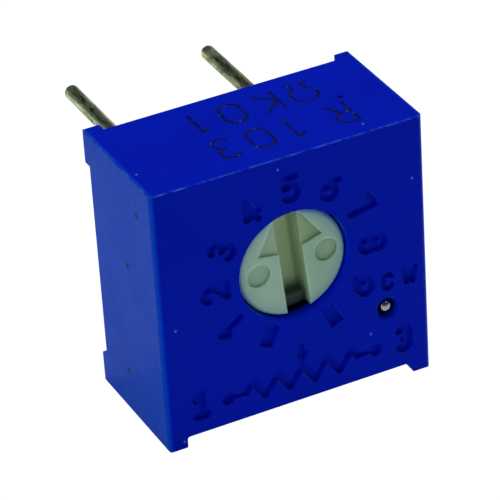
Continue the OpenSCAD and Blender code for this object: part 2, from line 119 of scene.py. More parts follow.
class TrimmerSizes(bpy.types.PropertyGroup):
    """Sizes of the details that are modelled here."""

    mark_lip: length("Mark lip", "Rounding where a moulded mark meets the face", 0.07)
    mark_root: length("Mark root", "Rounding at the bottom of a moulded mark", 0.07)
    hole_lip: length("Hole lip", "Rounding of the rotor hole and the vent at the face", 0.035)
    slot_lip: length("Slot lip", "Rounding of the slot's upper edges", 0.07)
    slot_root: length("Slot root", "Rounding along the bottom of the slot", 0.12)
    code_width: length("Code stroke", "Width of the strokes of the code on the top", 0.17)
    code_depth: length("Code depth", "Depth of the code on the top", 0.03)
    code_height: length("Code height", "Height of the characters on the top", 1.45)
    meniscus: length("Meniscus", "How far the potting climbs its walls", 0.07)
    meniscus_reach: length("Meniscus reach", "How far the climb reaches from a wall", 0.3)
    pin_facets: IntProperty(
        name="Pin facets", description="Faces around a pin", default=48, min=12, max=96
    )


class TrimmerColours(bpy.types.PropertyGroup):
    """Colours of the finishes."""

    case_blue: colour("Case", "Moulded case", 0.0, 0.01, 0.565)
    rotor_cream: colour("Rotor", "Moulded rotor", 0.385, 0.615, 0.475)
    pin_metal: colour("Pins", "Tinned pins", 0.56, 0.78, 0.42)
    potting: colour("Potting", "Resin at the back", 0.16, 0.075, 0.02)
    ball_steel: colour("Ball", "Vent ball", 0.4, 0.46, 0.43)
    seal: colour("Seal", "Rubber seal", 0.008, 0.008, 0.01)
    ceramic: colour("Ceramic", "Ceramic plate", 0.82, 0.8, 0.74)
    cermet: colour("Track", "Printed resistive track", 0.015, 0.015, 0.018)
    silver: colour("Conductors", "Printed conductors", 0.62, 0.61, 0.58)
    solder: colour("Solder", "Solder fillets", 0.6, 0.61, 0.63)
    spring: colour("Wiper", "Spring metal of the wiper", 0.78, 0.6, 0.3)
    floor: colour("Floor", "Studio floor", 0.86, 0.86, 0.86)


# ---- Modelling helpers -------------------------------------------------------------------------


def box_mm(node):
    """The lowest and highest corner of a CAD node, in millimetres."""
    return [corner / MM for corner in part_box(node)]


def middle(low, high):
    """X and Z of the line along Y through the middle of a box."""
    return (low.x + high.x) / 2, (low.z + high.z) / 2


def front_of(obj):
    """The Y of the mesh's front."""
    return min(vert.co.y for vert in obj.data.vertices)


def choose(obj):
    """Leaves object mode with only this object selected and active."""
    if bpy.context.object and bpy.context.object.mode != "OBJECT":
        bpy.ops.object.mode_set(mode="OBJECT")
    bpy.ops.object.select_all(action="DESELECT")
    obj.select_set(True)
    bpy.context.view_layer.objects.active = obj


def edit(obj):
    """Opens the object's mesh in edit mode with nothing selected."""
    choose(obj)
    bpy.ops.object.mode_set(mode="EDIT")
    bpy.ops.mesh.select_all(action="DESELECT")


def done():
    bpy.ops.object.mode_set(mode="OBJECT")


def scale_mesh(obj, factor):
    choose(obj)
    bpy.ops.object.transform_apply(location=True, rotation=True, scale=True)
    obj.scale = (factor, factor, factor)
    bpy.ops.object.transform_apply(location=True, rotation=True, scale=True)


def apply_modifier(obj, kind, **values):
    choose(obj)
    modifier = obj.modifiers.new(kind.lower(), kind)
    for key, value in values.items():
        setattr(modifier, key, value)
    bpy.ops.object.modifier_apply(modifier=modifier.name)


def merged_copy(node, name):
    """A copy of a CAD node in millimetres, with its triangles merged into whole flat faces."""
    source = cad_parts[node]
    obj = bpy.data.objects.new(name, source.data.copy())
    bpy.context.collection.objects.link(obj)
    obj.data.materials.clear()
    scale_mesh(obj, 1 / MM)
    bpy.ops.mesh.customdata_custom_splitnormals_clear()
    edit(obj)
    bpy.ops.mesh.select_all(action="SELECT")
    bpy.ops.mesh.remove_doubles(threshold=1e-4)
    bpy.ops.mesh.dissolve_limited(angle_limit=math.radians(0.5))
    done()
    return obj


def round_edges(obj, width, segments, wanted, least=30):
    """Bevels the edges that turn by at least so many degrees and that wanted(edge) picks."""
    edit(obj)
    mesh = bmesh.from_edit_mesh(obj.data)
    found = 0
    for edge in mesh.edges:
        if len(edge.link_faces) != 2 or edge.calc_face_angle() < math.radians(least):
            continue
        if wanted(edge):
            edge.select = True
            found += 1
    if not found:
        raise RuntimeError(f"no edge of {obj.name} to round")
    mesh.select_flush_mode()
    bmesh.update_edit_mesh(obj.data)
    bpy.ops.mesh.bevel(
        offset=width, segments=segments, profile=0.5, clamp_overlap=True, affect="EDGES"
    )
    done()


def on_plane(edge, axis, at):
    return all(abs(vert.co[axis] - at) < NEAR for vert in edge.verts)


def smooth(obj, angle=38):
    """Smooth shading that keeps hard edges, with the large flat faces setting the normals."""
    choose(obj)
    bpy.ops.object.shade_smooth_by_angle(angle=math.radians(angle), keep_sharp_edges=True)
    apply_modifier(obj, "WEIGHTED_NORMAL", keep_sharp=True, weight=100)


def finish_piece(obj, body, material, slot, *nodes):
    """Scales the piece to metres, gives it its finish and puts it on its body."""
    scale_mesh(obj, MM)
    obj.data.materials.clear()
    obj.data.materials.append(material)
    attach(obj, body)
    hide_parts(*nodes)


def turned_solid(name, x, z, profile, facets):
    """A round solid about a line along Y: a filled circle extruded and resized along a profile."""
    radius, y = profile[0]
    bpy.ops.object.select_all(action="DESELECT")
    bpy.ops.mesh.primitive_circle_add(
        vertices=facets,
        radius=radius,
        fill_type="NGON",
        rotation=(math.radians(90), 0, 0),
        location=(x, y, z),
    )
    obj = bpy.context.object
    obj.name = name
    bpy.ops.object.transform_apply(location=True, rotation=True, scale=True)
    bpy.ops.object.mode_set(mode="EDIT")
    bpy.ops.mesh.select_all(action="SELECT")
    for next_radius, next_y in profile[1:]:
        bpy.ops.mesh.extrude_region_move(
            TRANSFORM_OT_translate={"value": (0, next_y - y, 0)}
        )
        factor = next_radius / radius
        if abs(factor - 1) > 1e-6:
            bpy.ops.transform.resize(value=(factor, 1, factor), center_override=(x, next_y, z))
        radius, y = next_radius, next_y
    bpy.ops.mesh.select_all(action="SELECT")
    bpy.ops.mesh.normals_make_consistent(inside=False)
    done()
    return obj


# ---- Shader helpers ----------------------------------------------------------------------------


def new_node(tree, kind, **settings):
    """A node with its sockets and its own settings given by name."""
    node = tree.nodes.new(kind)
    for key, value in settings.items():
        if key in node.inputs:
            node.inputs[key].default_value = value
        else:
            setattr(node, key, value)
    return node


def place_group(tree, group, **values):
    """A shared group placed in a tree, with values for its inputs."""
    node = tree.nodes.new("ShaderNodeGroup")
    node.node_tree = group
    for key, value in values.items():
        node.inputs[key].default_value = value
    return node


def group_shell(name, inputs, outputs):
    """An empty node group with float inputs, as (name, default), and named float outputs."""
    tree = bpy.data.node_groups.new(name, "ShaderNodeTree")
    for socket, default in inputs:
        made = tree.interface.new_socket(socket, in_out="INPUT", socket_type="NodeSocketFloat")
        made.default_value = default
    for socket in outputs:
        tree.interface.new_socket(socket, in_out="OUTPUT", socket_type="NodeSocketFloat")
    return tree, tree.nodes.new("NodeGroupInput"), tree.nodes.new("NodeGroupOutput")


def object_place(tree, stretch=(1, 1, 1)):
    """Object coordinates, stretched for patterns that run along a piece."""
    place = tree.nodes.new("ShaderNodeTexCoord")
    mapping = new_node(tree, "ShaderNodeMapping")
    mapping.inputs["Scale"].default_value = stretch
    tree.links.new(place.outputs["Object"], mapping.inputs["Vector"])
    return mapping.outputs["Vector"]


def calc(tree, operation, *values):
    """A Math node on sockets and numbers; returns its output."""
    node = tree.nodes.new("ShaderNodeMath")
    node.operation = operation
    for socket, value in zip(node.inputs, values):
        if isinstance(value, bpy.types.NodeSocket):
            tree.links.new(value, socket)
        else:
            socket.default_value = value
    return node.outputs[0]


def times(tree, first, second):
    """The product of two masks, or of a mask and a strength."""
    return calc(tree, "MULTIPLY", first, second)


def build_grain():
    """Soft cloudy variation between Low and High, for colour, roughness and gentle relief."""
    tree, given, out = group_shell(
        "cloudy_grain",
        [("Scale", 1000.0), ("Detail", 3.0), ("Low", 0.0), ("High", 1.0)],
        ["Value"],
    )
    noise = new_node(tree, "ShaderNodeTexNoise", Roughness=0.55)
    spread = new_node(tree, "ShaderNodeMapRange", **{"From Min": 0.3, "From Max": 0.7})
    tree.links.new(object_place(tree), noise.inputs["Vector"])
    tree.links.new(given.outputs["Scale"], noise.inputs["Scale"])
    tree.links.new(given.outputs["Detail"], noise.inputs["Detail"])
    tree.links.new(noise.outputs["Fac"], spread.inputs["Value"])
    tree.links.new(given.outputs["Low"], spread.inputs["To Min"])
    tree.links.new(given.outputs["High"], spread.inputs["To Max"])
    tree.links.new(spread.outputs["Result"], out.inputs["Value"])
    return tree


def build_specks():
    """A mask of sparse specks: Size is their radius in cells, Share how many cells have one."""
    tree, given, out = group_shell(
        "sparse_specks", [("Scale", 1500.0), ("Size", 0.12), ("Share", 0.05)], ["Mask"]
    )
    cells = new_node(tree, "ShaderNodeTexVoronoi", feature="F1")
    tree.links.new(object_place(tree), cells.inputs["Vector"])
    tree.links.new(given.outputs["Scale"], cells.inputs["Scale"])
    split = new_node(tree, "ShaderNodeSeparateColor")
    tree.links.new(cells.outputs["Color"], split.inputs["Color"])
    chosen = calc(tree, "LESS_THAN", split.outputs["Red"], given.outputs["Share"])
    inside = calc(tree, "LESS_THAN", cells.outputs["Distance"], given.outputs["Size"])
    tree.links.new(times(tree, chosen, inside), out.inputs["Mask"])
    return tree


def ramp(tree, value, start, end):
    """Runs smoothly from 0 at start to 1 at end, whichever of them is the larger."""
    ends = (0.0, start), (1.0, end)
    (at_low, low), (at_high, high) = sorted(ends, key=lambda one: one[1])
    node = new_node(
        tree, "ShaderNodeMapRange", interpolation_type="SMOOTHSTEP",
        **{"From Min": low, "From Max": high, "To Min": at_low, "To Max": at_high},
    )
    tree.links.new(value, node.inputs["Value"])
    return node.outputs["Result"]


def ramp_mm(tree, value, start, end):
    """A ramp between two places in millimetres."""
    return ramp(tree, value, start * MM, end * MM)


def position(tree):
    """The object coordinates X, Y and Z as three sockets."""
    place = tree.nodes.new("ShaderNodeTexCoord")
    split = tree.nodes.new("ShaderNodeSeparateXYZ")
    tree.links.new(place.outputs["Object"], split.inputs[0])
    return split.outputs[0], split.outputs[1], split.outputs[2]


def radius_about(tree, across, up, centre=(0.0, 0.0)):
    """Distance from a line along Y through centre."""
    along = calc(tree, "SUBTRACT", across, centre[0])
    over = calc(tree, "SUBTRACT", up, centre[1])
    squares = calc(tree, "ADD", times(tree, along, along), times(tree, over, over))
    return calc(tree, "SQRT", squares)


def spots(tree, places, radius):
    """A mask of soft spots of a radius about fixed places, all in millimetres."""
    where = tree.nodes.new("ShaderNodeTexCoord").outputs["Object"]
    mask = 0.0
    for place in places:
        reach = new_node(tree, "ShaderNodeVectorMath", operation="DISTANCE")
        tree.links.new(where, reach.inputs[0])
        reach.inputs[1].default_value = [one * MM for one in place]
        spot = ramp_mm(tree, reach.outputs["Value"], radius, radius * 0.5)
        mask = calc(tree, "MAXIMUM", mask, spot)
    return mask


GROUPS = {}


def shared_group(name, build):
    if name not in GROUPS:
        GROUPS[name] = build()
    return GROUPS[name]


def grain():
    return shared_group("grain", build_grain)


def specks():
    return shared_group("specks", build_specks)


def plain_material(name):
    material = bpy.data.materials.new(name)
    material.use_nodes = True
    return material, material.node_tree, material.node_tree.nodes["Principled BSDF"]


def mix_colours(tree, factor, first, second):
    """Mixes two colours, each a value or a socket, by a factor socket."""
    mix = new_node(tree, "ShaderNodeMix", data_type="RGBA")
    tree.links.new(factor, mix.inputs["Factor"])
    for socket, value in ((mix.inputs[6], first), (mix.inputs[7], second)):
        if isinstance(value, bpy.types.NodeSocket):
            tree.links.new(value, socket)
        else:
            socket.default_value = (*value, 1.0)
    return mix.outputs[2]


def shade(colour_value, factor):
    """A colour made darker or lighter by a factor."""
    return tuple(min(1.0, channel * factor) for channel in colour_value)


def add_bump(tree, shader, height, distance):
    """Relief from a height socket, as deep as a distance in millimetres."""
    bump = new_node(tree, "ShaderNodeBump", Strength=1.0, Distance=distance * MM)
    tree.links.new(height, bump.inputs["Height"])
    tree.links.new(bump.outputs["Normal"], shader.inputs["Normal"])


def grained(name, base, rough, spread=0.08, tint=0.06, scale=900.0, relief=0.0015, **sockets):
    """A finish whose colour, roughness and relief vary softly over the surface."""
    material, tree, shader = plain_material(name)
    clouds = place_group(tree, grain(), Scale=scale * 0.4, Detail=2.0)
    darker, lighter = shade(base, 1 - tint), shade(base, 1 + tint)
    colours = mix_colours(tree, clouds.outputs["Value"], darker, lighter)
    tree.links.new(colours, shader.inputs["Base Color"])
    sheen = place_group(tree, grain(), Scale=scale, Low=rough - spread, High=rough + spread)
    tree.links.new(sheen.outputs["Value"], shader.inputs["Roughness"])
    fine = place_group(tree, grain(), Scale=scale * 6, Detail=4.0)
    add_bump(tree, shader, fine.outputs["Value"], relief)
    for socket, value in sockets.items():
        shader.inputs[socket.replace("_", " ")].default_value = value
    return material, tree, shader, colours


# ---- Finishes ----------------------------------------------------------------------------------


# Places of single pits, painted as dark spots of shade, and of dust specks on the case, in
# millimetres, and their radii
PITS = [(-4.765, 1.16, 2.755), (-4.765, 2.85, -3.93), (-4.765, 2.2, 0.4), (3.1, 2.4, 3.99)]
DUST = [
    (-0.4, 0.0, 3.61), (4.3, 0.0, 1.82), (2.59, 0.0, -3.51), (-4.26, 0.0, -1.03),
    (-4.24, 0.0, -5.25), (-4.5, 1.5, 3.99), (2.9, 0.5, 3.99), (4.765, 2.7, -1.2),
]
PIT_RADIUS = 0.13
DUST_RADIUS = 0.06

# Tints of the case beside its own blue, of the burnt code and of the clearance beside the rotor;
# all but the dust and the ash are painted light, shade or reflection
SIDE_REFLECTION_DULL = (0.0, 0.051, 0.54)
SIDE_REFLECTION_BRIGHT = (0.0, 0.065, 0.66)
EDGE_HIGHLIGHT = (0.055, 0.15, 0.95)
DUST_TINT = (0.12, 0.16, 0.5)
PIT_SHADE = (0.0, 0.002, 0.07)
HOLE_WALL_LIGHT = (0.0, 0.02, 1.0)
CASE_GAP_SHADE = (0.0, 0.0006, 0.02)
ASH_TINT = (0.03, 0.075, 0.2)
ROTOR_GAP_SHADE = (0.01, 0.012, 0.015)

# Where tints start and where they are full, in millimetres, for the painted highlight, reflection,
# shade and light
EDGE_HIGHLIGHT_REACH = 0.06  # from an edge of the case
SIDE_REFLECTION_REACH = (0.15, 0.03)  # from a side face
MARK_AREA = (0.1, 0.2)  # from the sides, the top and the feet
MARK_SHADE_DEPTH = (0.03, 0.14)  # below the front face
MARK_FLANK_LIGHT_DEPTH = (0.146, 0.11)  # up from the floor of a mark
WALL_LIGHT_DEPTH = (0.01, 0.06)  # below the front face, in the rotor hole
GAP_SHADE_DEPTH = (0.3, 0.5)  # below the front face, around the rotor
VENT_SHADE_DEPTH = (0.0, 0.26)  # below the front face, around the ball
HOLE_RADIUS = (2.1, 2.0)  # from the rotor's axis
ROTOR_RADIUS = (1.87, 1.89)  # from the rotor's axis
VENT_RADIUS = (0.5, 0.42)  # from the vent's axis
SLOT_TILT = 5  # how far the slot leans at rest, in degrees


def edge_highlight_line(tree, low, high):
    """A broken line of painted highlight along the top, left and front edges of the box between
    two corners.
    """
    across, depth, up = position(tree)
    left = calc(tree, "SUBTRACT", across, low.x)
    front = calc(tree, "SUBTRACT", depth, low.y)
    top = calc(tree, "SUBTRACT", high.z, up)
    near = calc(tree, "MINIMUM", left, front)
    far = calc(tree, "MAXIMUM", left, front)
    second = calc(tree, "MAXIMUM", near, calc(tree, "MINIMUM", far, top))
    line = ramp_mm(tree, second, EDGE_HIGHLIGHT_REACH, EDGE_HIGHLIGHT_REACH * 0.4)
    broken = place_group(tree, grain(), Scale=2300.0, Detail=4.0, Low=-0.5, High=1.2)
    return times(tree, line, calc(tree, "MAXIMUM", broken.outputs["Value"], 0.0))


def specked(tree, base, tint, places, radius, **random):
    """Single spots at their places and random specks, in one tint."""
    sparse = place_group(tree, specks(), **random).outputs["Mask"]
    mask = calc(tree, "MAXIMUM", sparse, spots(tree, places, radius))
    return mix_colours(tree, mask, base, tint)


def case_finish(colours):
    """Moulded thermoset: deep blue, with a painted reflection on its sides, a painted highlight
    along its upper edges, dust, painted shade in pits, marks and gaps, and painted light in marks
    and on the hole's wall.
    """
    blue = tuple(colours.case_blue)
    material, tree, shader, base = grained(
        "moulded_blue", blue, 0.42, spread=0.05, tint=0.06, scale=700.0, relief=0.0012,
        Specular_IOR_Level=0.055, Specular_Tint=(0.05, 0.5, 1.0, 1.0), Sheen_Weight=0.5,
        Sheen_Roughness=0.22, Sheen_Tint=(0.0, 0.9, 0.7, 1.0),
    )
    low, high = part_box("housing")
    across, depth, up = position(tree)
    from_middle = calc(tree, "ABSOLUTE", calc(tree, "SUBTRACT", across, (low.x + high.x) / 2))
    from_side = calc(tree, "SUBTRACT", (high.x - low.x) / 2, from_middle)

    # Painted reflection on the side faces, with a painted edge highlight, dust and pits painted as
    # shade over it
    mottle = place_group(tree, grain(), Scale=5200.0, Detail=3.0)
    side_reflection = mix_colours(tree, mottle.outputs["Value"], SIDE_REFLECTION_DULL, SIDE_REFLECTION_BRIGHT)
    side_reflected = mix_colours(tree, ramp_mm(tree, from_side, *SIDE_REFLECTION_REACH), base, side_reflection)
    edge_highlighted = mix_colours(tree, edge_highlight_line(tree, low, high), side_reflected, EDGE_HIGHLIGHT)
    dusty = specked(tree, edge_highlighted, DUST_TINT, DUST, DUST_RADIUS, Scale=950.0, Size=0.07, Share=0.03)
    pit_shaded = specked(tree, dusty, PIT_SHADE, PITS, PIT_RADIUS, Scale=620.0, Size=0.06, Share=0.03)

    # Moulded marks: painted shade makes their floor a trace darker than the face, and painted
    # light makes their flanks much lighter
    in_hole = ramp_mm(tree, radius_about(tree, across, up), *HOLE_RADIUS)
    from_top = calc(tree, "SUBTRACT", high.z, up)
    from_foot = calc(tree, "SUBTRACT", up, low.z + FOOT_HEIGHT * MM)
    from_end = calc(tree, "MINIMUM", from_top, from_foot)
    inside = ramp_mm(tree, calc(tree, "MINIMUM", from_side, from_end), *MARK_AREA)
    painted_mark_mask = times(tree, inside, ramp_mm(tree, depth, *MARK_SHADE_DEPTH))
    painted_mark_mask = times(tree, painted_mark_mask, calc(tree, "SUBTRACT", 1.0, in_hole))
    floor_shaded = mix_colours(tree, painted_mark_mask, pit_shaded, shade(blue, 0.98))
    flank_light = times(tree, painted_mark_mask, ramp_mm(tree, depth, *MARK_FLANK_LIGHT_DEPTH))
    flank_lit = mix_colours(tree, flank_light, floor_shaded, shade(blue, 1.75))
    # Painted light: the rotor hole's wall is painted a bright blue
    wall = times(tree, in_hole, ramp_mm(tree, depth, *WALL_LIGHT_DEPTH))
    with_painted_wall_lighting = mix_colours(tree, wall, flank_lit, HOLE_WALL_LIGHT)

    # Painted shade in the deep gaps around the rotor and the vent's ball
    vent = middle(*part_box("vent_ball"))
    in_vent = ramp_mm(tree, radius_about(tree, across, up, vent), *VENT_RADIUS)
    hole_gap_shade = times(tree, in_hole, ramp_mm(tree, depth, *GAP_SHADE_DEPTH))
    vent_gap_shade = times(tree, in_vent, ramp_mm(tree, depth, *VENT_SHADE_DEPTH))
    gap_shade = calc(tree, "MAXIMUM", hole_gap_shade, vent_gap_shade)
    tree.links.new(mix_colours(tree, gap_shade, with_painted_wall_lighting, CASE_GAP_SHADE), shader.inputs["Base Color"])
    return material


def code_finish(colours):
    """The floor of the burnt strokes on the top: dark and dull, with paler ash in places."""
    blue = tuple(colours.case_blue)
    material, tree, shader, base = grained(
        "burnt_blue", (0.0, blue[1] * 0.5, blue[2] * 0.28), 0.7, tint=0.4, scale=2500.0,
        relief=0.004, Specular_IOR_Level=0.1,
    )
    ash = place_group(tree, specks(), Scale=7000.0, Size=0.35, Share=0.16)
    ashen = mix_colours(tree, ash.outputs["Mask"], base, ASH_TINT)
    tree.links.new(ashen, shader.inputs["Base Color"])
    return material


def rotor_finish(colours):
    """Translucent cream plastic: warm in the middle, bluer at the rim by a painted reflection,
    with painted light on its left side and down in the slot, and painted shade in its recesses and
    at its rim.
    """
    cream = tuple(colours.rotor_cream)
    material, tree, shader, base = grained(
        "moulded_cream", cream, 0.45, spread=0.06, tint=0.05, scale=600.0, relief=0.002,
        Specular_IOR_Level=0.3, Subsurface_Weight=0.8, Subsurface_Scale=0.6 * MM,
    )
    shader.inputs["Subsurface Radius"].default_value = (1.0, 1.0, 0.6)
    across, depth, up = position(tree)
    out = radius_about(tree, across, up)

    # Painted reflection: bluer towards the rim; painted light: paler on the left side
    rim_reflection_blue = (cream[0] * 0.6, cream[1] * 0.8, cream[2] * 1.05)
    rim_reflected = mix_colours(tree, ramp_mm(tree, out, 1.4, 1.95), base, rim_reflection_blue)
    left = times(tree, ramp_mm(tree, across, 0.9, -1.6), 0.55)
    pale = mix_colours(tree, left, rim_reflected, shade(cream, 1.3))

    # Painted shade, browner, in the shallow recesses, strongest at the upper right
    brown = (cream[0] * 0.78, cream[1] * 0.7, cream[2] * 0.4)
    recess = times(tree, ramp_mm(tree, depth, 0.15, 0.22), ramp_mm(tree, out, 1.8, 1.72))
    arrow = times(tree, ramp_mm(tree, up, 0.3, 0.5), ramp_mm(tree, across, -0.2, 1.0))
    recess_shade_mask = times(tree, recess, calc(tree, "MULTIPLY_ADD", arrow, 0.45, 0.3))
    recess_shaded = mix_colours(tree, recess_shade_mask, pale, brown)

    # Painted light: a lighter, yellower green down in the slot; painted shade: darker on its right
    # wall
    lit_slot_olive = (cream[0] * 1.5, cream[1] * 1.28, cream[2] * 0.95)
    deep = mix_colours(tree, ramp_mm(tree, depth, 0.25, 0.75), recess_shaded, lit_slot_olive)
    tilt = math.radians(SLOT_TILT)
    level = times(tree, across, math.cos(tilt))
    from_slot = calc(tree, "MULTIPLY_ADD", up, math.sin(tilt), level)
    wall = times(tree, ramp_mm(tree, from_slot, 0.28, 0.42), ramp_mm(tree, from_slot, 0.55, 0.5))
    wall = times(tree, wall, ramp_mm(tree, depth, 0.14, 0.35))
    with_painted_wall_lighting = mix_colours(tree, times(tree, wall, 0.6), deep, shade(lit_slot_olive, 0.5))

    # Painted shade at the slot's foot, and in the dark clearance beside the rotor
    foot = times(tree, ramp_mm(tree, depth, 0.3, 0.6), ramp_mm(tree, up, -0.9, -1.6))
    slot_foot_shaded = mix_colours(tree, foot, with_painted_wall_lighting, shade(cream, 0.25))
    rotor_gap_shade = times(tree, ramp_mm(tree, out, *ROTOR_RADIUS), ramp_mm(tree, depth, *GAP_SHADE_DEPTH))
    tree.links.new(mix_colours(tree, rotor_gap_shade, slot_foot_shaded, ROTOR_GAP_SHADE), shader.inputs["Base Color"])
    return material


def pin_finish(colours):
    """Tinned wire: drawn lines along it, dull patches and dark streaks of tarnish."""
    metal = tuple(colours.pin_metal)
    material, tree, shader = plain_material("tinned_pin")
    shader.inputs["Metallic"].default_value = 1.0
    drawn = new_node(tree, "ShaderNodeTexNoise", Scale=9000.0, Detail=3.0, Roughness=0.6)
    tree.links.new(object_place(tree, (1, 0.1, 1)), drawn.inputs["Vector"])
    tarnish = new_node(tree, "ShaderNodeTexNoise", Scale=5500.0, Detail=5.0, Roughness=0.7)
    tree.links.new(object_place(tree, (1, 0.3, 1)), tarnish.inputs["Vector"])
    patches = place_group(tree, grain(), Scale=1400.0, Detail=3.0)
    warm = (metal[0] * 1.15, metal[1] * 0.95, metal[2] * 0.9)
    lit = mix_colours(tree, patches.outputs["Value"], warm, shade(metal, 1.6))
    lines = ramp(tree, drawn.outputs["Fac"], 0.35, 0.6)
    streaked = mix_colours(tree, lines, shade(metal, 0.5), lit)
    dark = ramp(tree, tarnish.outputs["Fac"], 0.48, 0.64)
    tarnished = mix_colours(tree, dark, streaked, shade(metal, 0.25))
    tree.links.new(tarnished, shader.inputs["Base Color"])
    sheen = place_group(tree, grain(), Scale=2200.0, Low=0.24, High=0.42)
    tree.links.new(sheen.outputs["Value"], shader.inputs["Roughness"])
    add_bump(tree, shader, drawn.outputs["Fac"], 0.006)
    return material


def potting_finish(colours):
    """Cast resin: brown, glossy, clouded, with a few tiny bubbles."""
    resin = tuple(colours.potting)
    material, tree, shader, base = grained(
        "cast_resin", resin, 0.2, spread=0.08, tint=0.35, scale=900.0, relief=0.004,
        Specular_IOR_Level=0.5, Coat_Weight=0.3, Coat_Roughness=0.08,
    )
    bubbles = place_group(tree, specks(), Scale=1500.0, Size=0.12, Share=0.07)
    spotted = mix_colours(tree, bubbles.outputs["Mask"], base, shade(resin, 1.9))
    tree.links.new(spotted, shader.inputs["Base Color"])
    return material


def ball_finish(colours):
    """Bright steel with the faintest relief."""
    return grained(
        "bright_steel", tuple(colours.ball_steel), 0.1, spread=0.03, tint=0.1, scale=5000.0,
        relief=0.0004, Metallic=1.0,
    )[0]


METAL = {"Metallic": 1.0}
INNER_FINISHES = (  # material, its colour, roughness and other values, and the nodes that take it
    ("seal_rubber", "seal", 0.6, dict(scale=1500.0, relief=0.003), ("rotor_seal",)),
    ("fired_ceramic", "ceramic", 0.55, dict(tint=0.04, scale=1800.0, relief=0.003),
     ("substrate",)),
    ("cermet_film", "cermet", 0.35, dict(tint=0.3, scale=3000.0, relief=0.002),
     ("resistive_track",)),
    ("silver_film", "silver", 0.42, dict(tint=0.12, scale=2600.0, relief=0.002, **METAL),
     ("end_conductor_1", "end_conductor_3", "collector")),
    ("solder_fillet", "solder", 0.3, dict(tint=0.1, scale=1600.0, relief=0.002, **METAL),
     ("solder_1", "solder_2", "solder_3")),
    ("spring_alloy", "spring", 0.28, dict(tint=0.08, scale=2400.0, relief=0.001, **METAL),
     ("wiper",)),
)


FLOOR_GLOW = 1.08
FLOOR_SHARE = 0.22  # how much of the glow lights the part
FLOOR_EXTRA = 0.75  # how much more of it the camera sees


def floor_finish(colours):
    """A pale floor that stays evenly bright to the eye and throws back a soft, dimmer light."""
    material, tree, shader, _ = grained(
        "pale_floor", tuple(colours.floor), 0.8, tint=0.01, scale=40.0, relief=0.0,
        Specular_IOR_Level=0.1,
    )
    glow = new_node(tree, "ShaderNodeEmission", Strength=FLOOR_GLOW)
    seen = new_node(tree, "ShaderNodeLightPath")
    even = calc(tree, "MULTIPLY_ADD", seen.outputs["Is Camera Ray"], FLOOR_EXTRA, FLOOR_SHARE)
    both = new_node(tree, "ShaderNodeMixShader")
    out = tree.nodes["Material Output"]
    tree.links.new(even, both.inputs["Fac"])
    tree.links.new(shader.outputs[0], both.inputs[1])
    tree.links.new(glow.outputs[0], both.inputs[2])
    tree.links.new(both.outputs[0], out.inputs["Surface"])
    return material


# ---- Case --------------------------------------------------------------------------------------

ARC_STEPS = 10
STROKE_STEP = 0.05  # between the points of a stroke, in cells
WOBBLES = ((0.09, 2.3), (0.07, 5.1))  # how much a stroke's width wavers, and how fast


def arc(centre, radius, start, end):
    """Points along an arc between two angles in degrees."""
    points = []
    for i in range(ARC_STEPS + 1):
        angle = math.radians(start + (end - start) * i / ARC_STEPS)
        points.append(
            (centre[0] + radius * math.cos(angle), centre[1] + radius * math.sin(angle))
        )
    return points


# Strokes of the characters of the code, in a cell one unit high about its middle
NOUGHT = arc((0, 0.2), 0.28, 0, 180) + arc((0, -0.2), 0.28, 180, 360) + [(0.28, 0.2)]
CHARACTERS = {
    "1": [[(-0.2, 0.26), (0.04, 0.48), (0.04, -0.48)]],
    "0": [NOUGHT],
    "3": [arc((0, 0.24), 0.24, 150, -90) + arc((0, -0.24), 0.24, 90, -150)],
    "K": [[(-0.24, 0.48), (-0.24, -0.48)], [(0.26, 0.48), (-0.22, 0.0), (0.28, -0.48)]],
    "R": [
        [(-0.24, -0.48), (-0.24, 0.48)] + arc((0.02, 0.24), 0.24, 90, -90) + [(-0.22, 0.0)],
        [(0.0, 0.0), (0.28, -0.48)],
    ],
    "ohm": [
        [(-0.34, -0.48), (-0.12, -0.48)]
        + arc((0, 0.1), 0.36, 240, -60)
        + [(0.12, -0.48), (0.34, -0.48)]
    ],
}
CODE_ROWS = [  # middle of each character, in millimetres from the row's first, and the row's place
    (("R", "1", "0", "3"), (0.0, 1.75, 2.9, 4.1), (2.1, 1.45)),
    (("ohm", "K", "0", "1"), (0.0, 1.2, 2.5, 3.75), (2.55, 3.3)),
]


def dense(stroke):
    """The points of a stroke with more between them, no further apart than STROKE_STEP."""
    points = [stroke[0]]
    for (x0, y0), (x1, y1) in zip(stroke, stroke[1:]):
        count = max(1, math.ceil(math.hypot(x1 - x0, y1 - y0) / STROKE_STEP))
        for i in range(1, count + 1):
            points.append((x0 + (x1 - x0) * i / count, y0 + (y1 - y0) * i / count))
    return points


def code_cutter(sizes):
    """Round strokes for the generic resistance code, read from the back edge of the top."""
    low, high = box_mm("housing")
    radius = sizes.code_width / MM / 2
    height = sizes.code_height / MM - 2 * radius
    level = high.z + radius - sizes.code_depth / MM
    (wide, slow), (narrow, fast) = WOBBLES
    curve = bpy.data.curves.new("code_strokes", "CURVE")
    curve.dimensions = "3D"
    curve.bevel_depth = radius
    curve.bevel_resolution = 3
    curve.use_fill_caps = True
    for characters, steps, (right_edge, depth) in CODE_ROWS:
        for character, step in zip(characters, steps):
            x = high.x - right_edge - step
            y = low.y + depth
            for stroke in CHARACTERS[character]:
                places = dense(stroke)
                line = curve.splines.new("POLY")
                line.points.add(len(places) - 1)
                for i, (point, (across, up)) in enumerate(zip(line.points, places)):
                    point.co = (x - across * height, y - up * height, level, 1)
                    waver = 1 + wide * math.sin(slow * i + step)
                    point.radius = waver + narrow * math.sin(fast * i)
    obj = bpy.data.objects.new("code_strokes", curve)
    bpy.context.collection.objects.link(obj)
    choose(obj)
    bpy.ops.object.convert(target="MESH")
    return bpy.context.object


